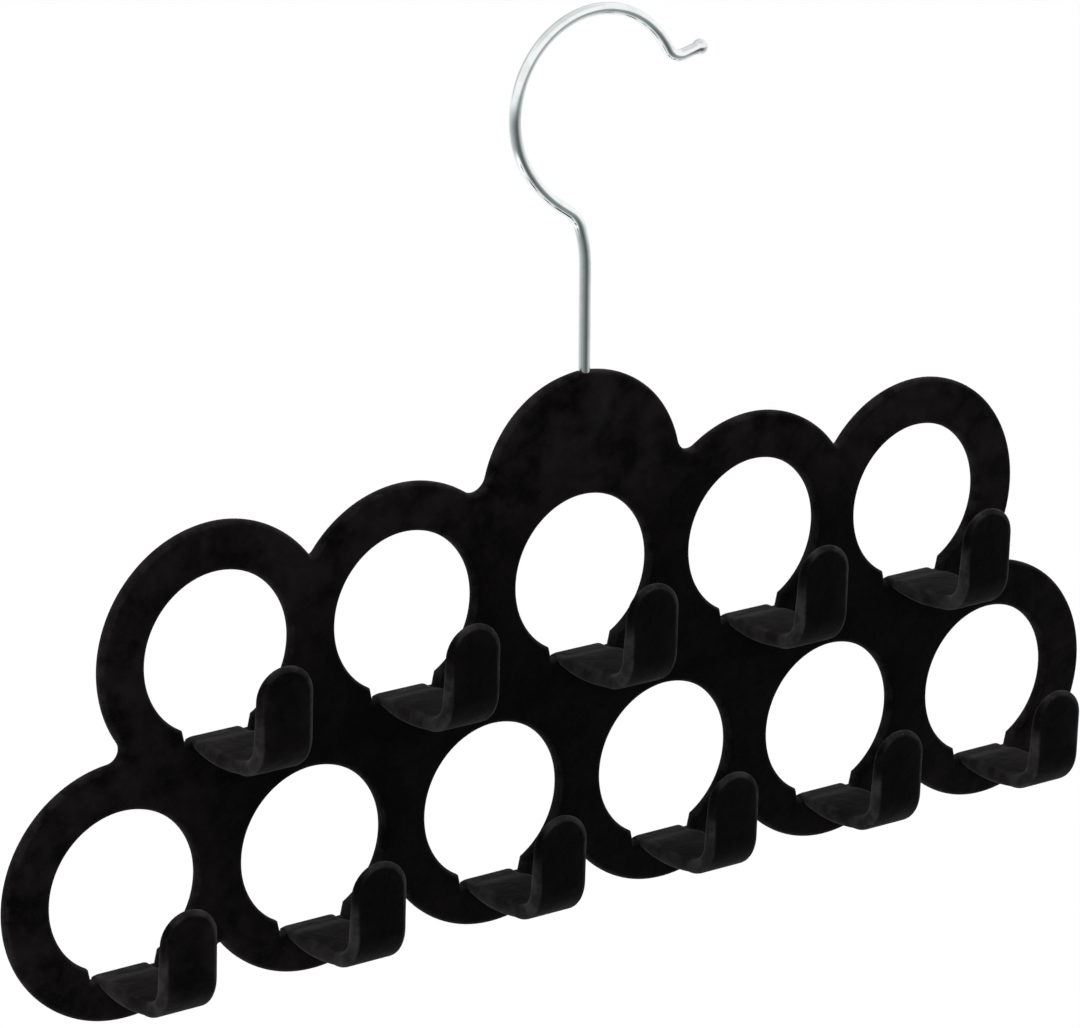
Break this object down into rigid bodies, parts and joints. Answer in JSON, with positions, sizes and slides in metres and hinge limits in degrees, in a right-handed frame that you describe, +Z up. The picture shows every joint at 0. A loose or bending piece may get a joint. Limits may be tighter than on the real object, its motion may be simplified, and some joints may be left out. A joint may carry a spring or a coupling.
{
  "type": "belt hanger",
  "caption": "Flat flocked ring plate with a belt hook in each ring, hung on a closet rod by a swivelling wire hook with a ball tip.",
  "frame": {"origin": "where the closet rod carries the hanger: the inside of the wire hook's top, straight above the swivel's axis", "axes": "+Z up; +X along the rows of rings, with the crook's mouth open to +X at rest; the belt hooks reach out towards -Y and the plate's back faces +Y"},
  "size_m": [0.3544, 0.0382, 0.2465],
  "materials": {
    "flocking": "black velvet flocking on moulded plastic",
    "wire": "bright plated steel wire"
  },
  "bodies": {
    "wire_hook": {"wire_hook": "wire"},
    "rack": {"ring_plate": "flocking", "belt_hook_upper_1": "flocking", "belt_hook_upper_2": "flocking", "belt_hook_upper_3": "flocking", "belt_hook_upper_4": "flocking", "belt_hook_upper_5": "flocking", "belt_hook_lower_1": "flocking", "belt_hook_lower_2": "flocking", "belt_hook_lower_3": "flocking", "belt_hook_lower_4": "flocking", "belt_hook_lower_5": "flocking", "belt_hook_lower_6": "flocking"}
  },
  "joints": [
    {"name": "hook_swivel", "type": "hinge", "parent": "wire_hook", "child": "rack", "pos_m": [0, 0, -0.09441], "axis": [0, 0, 1], "continuous": true}
  ]
}
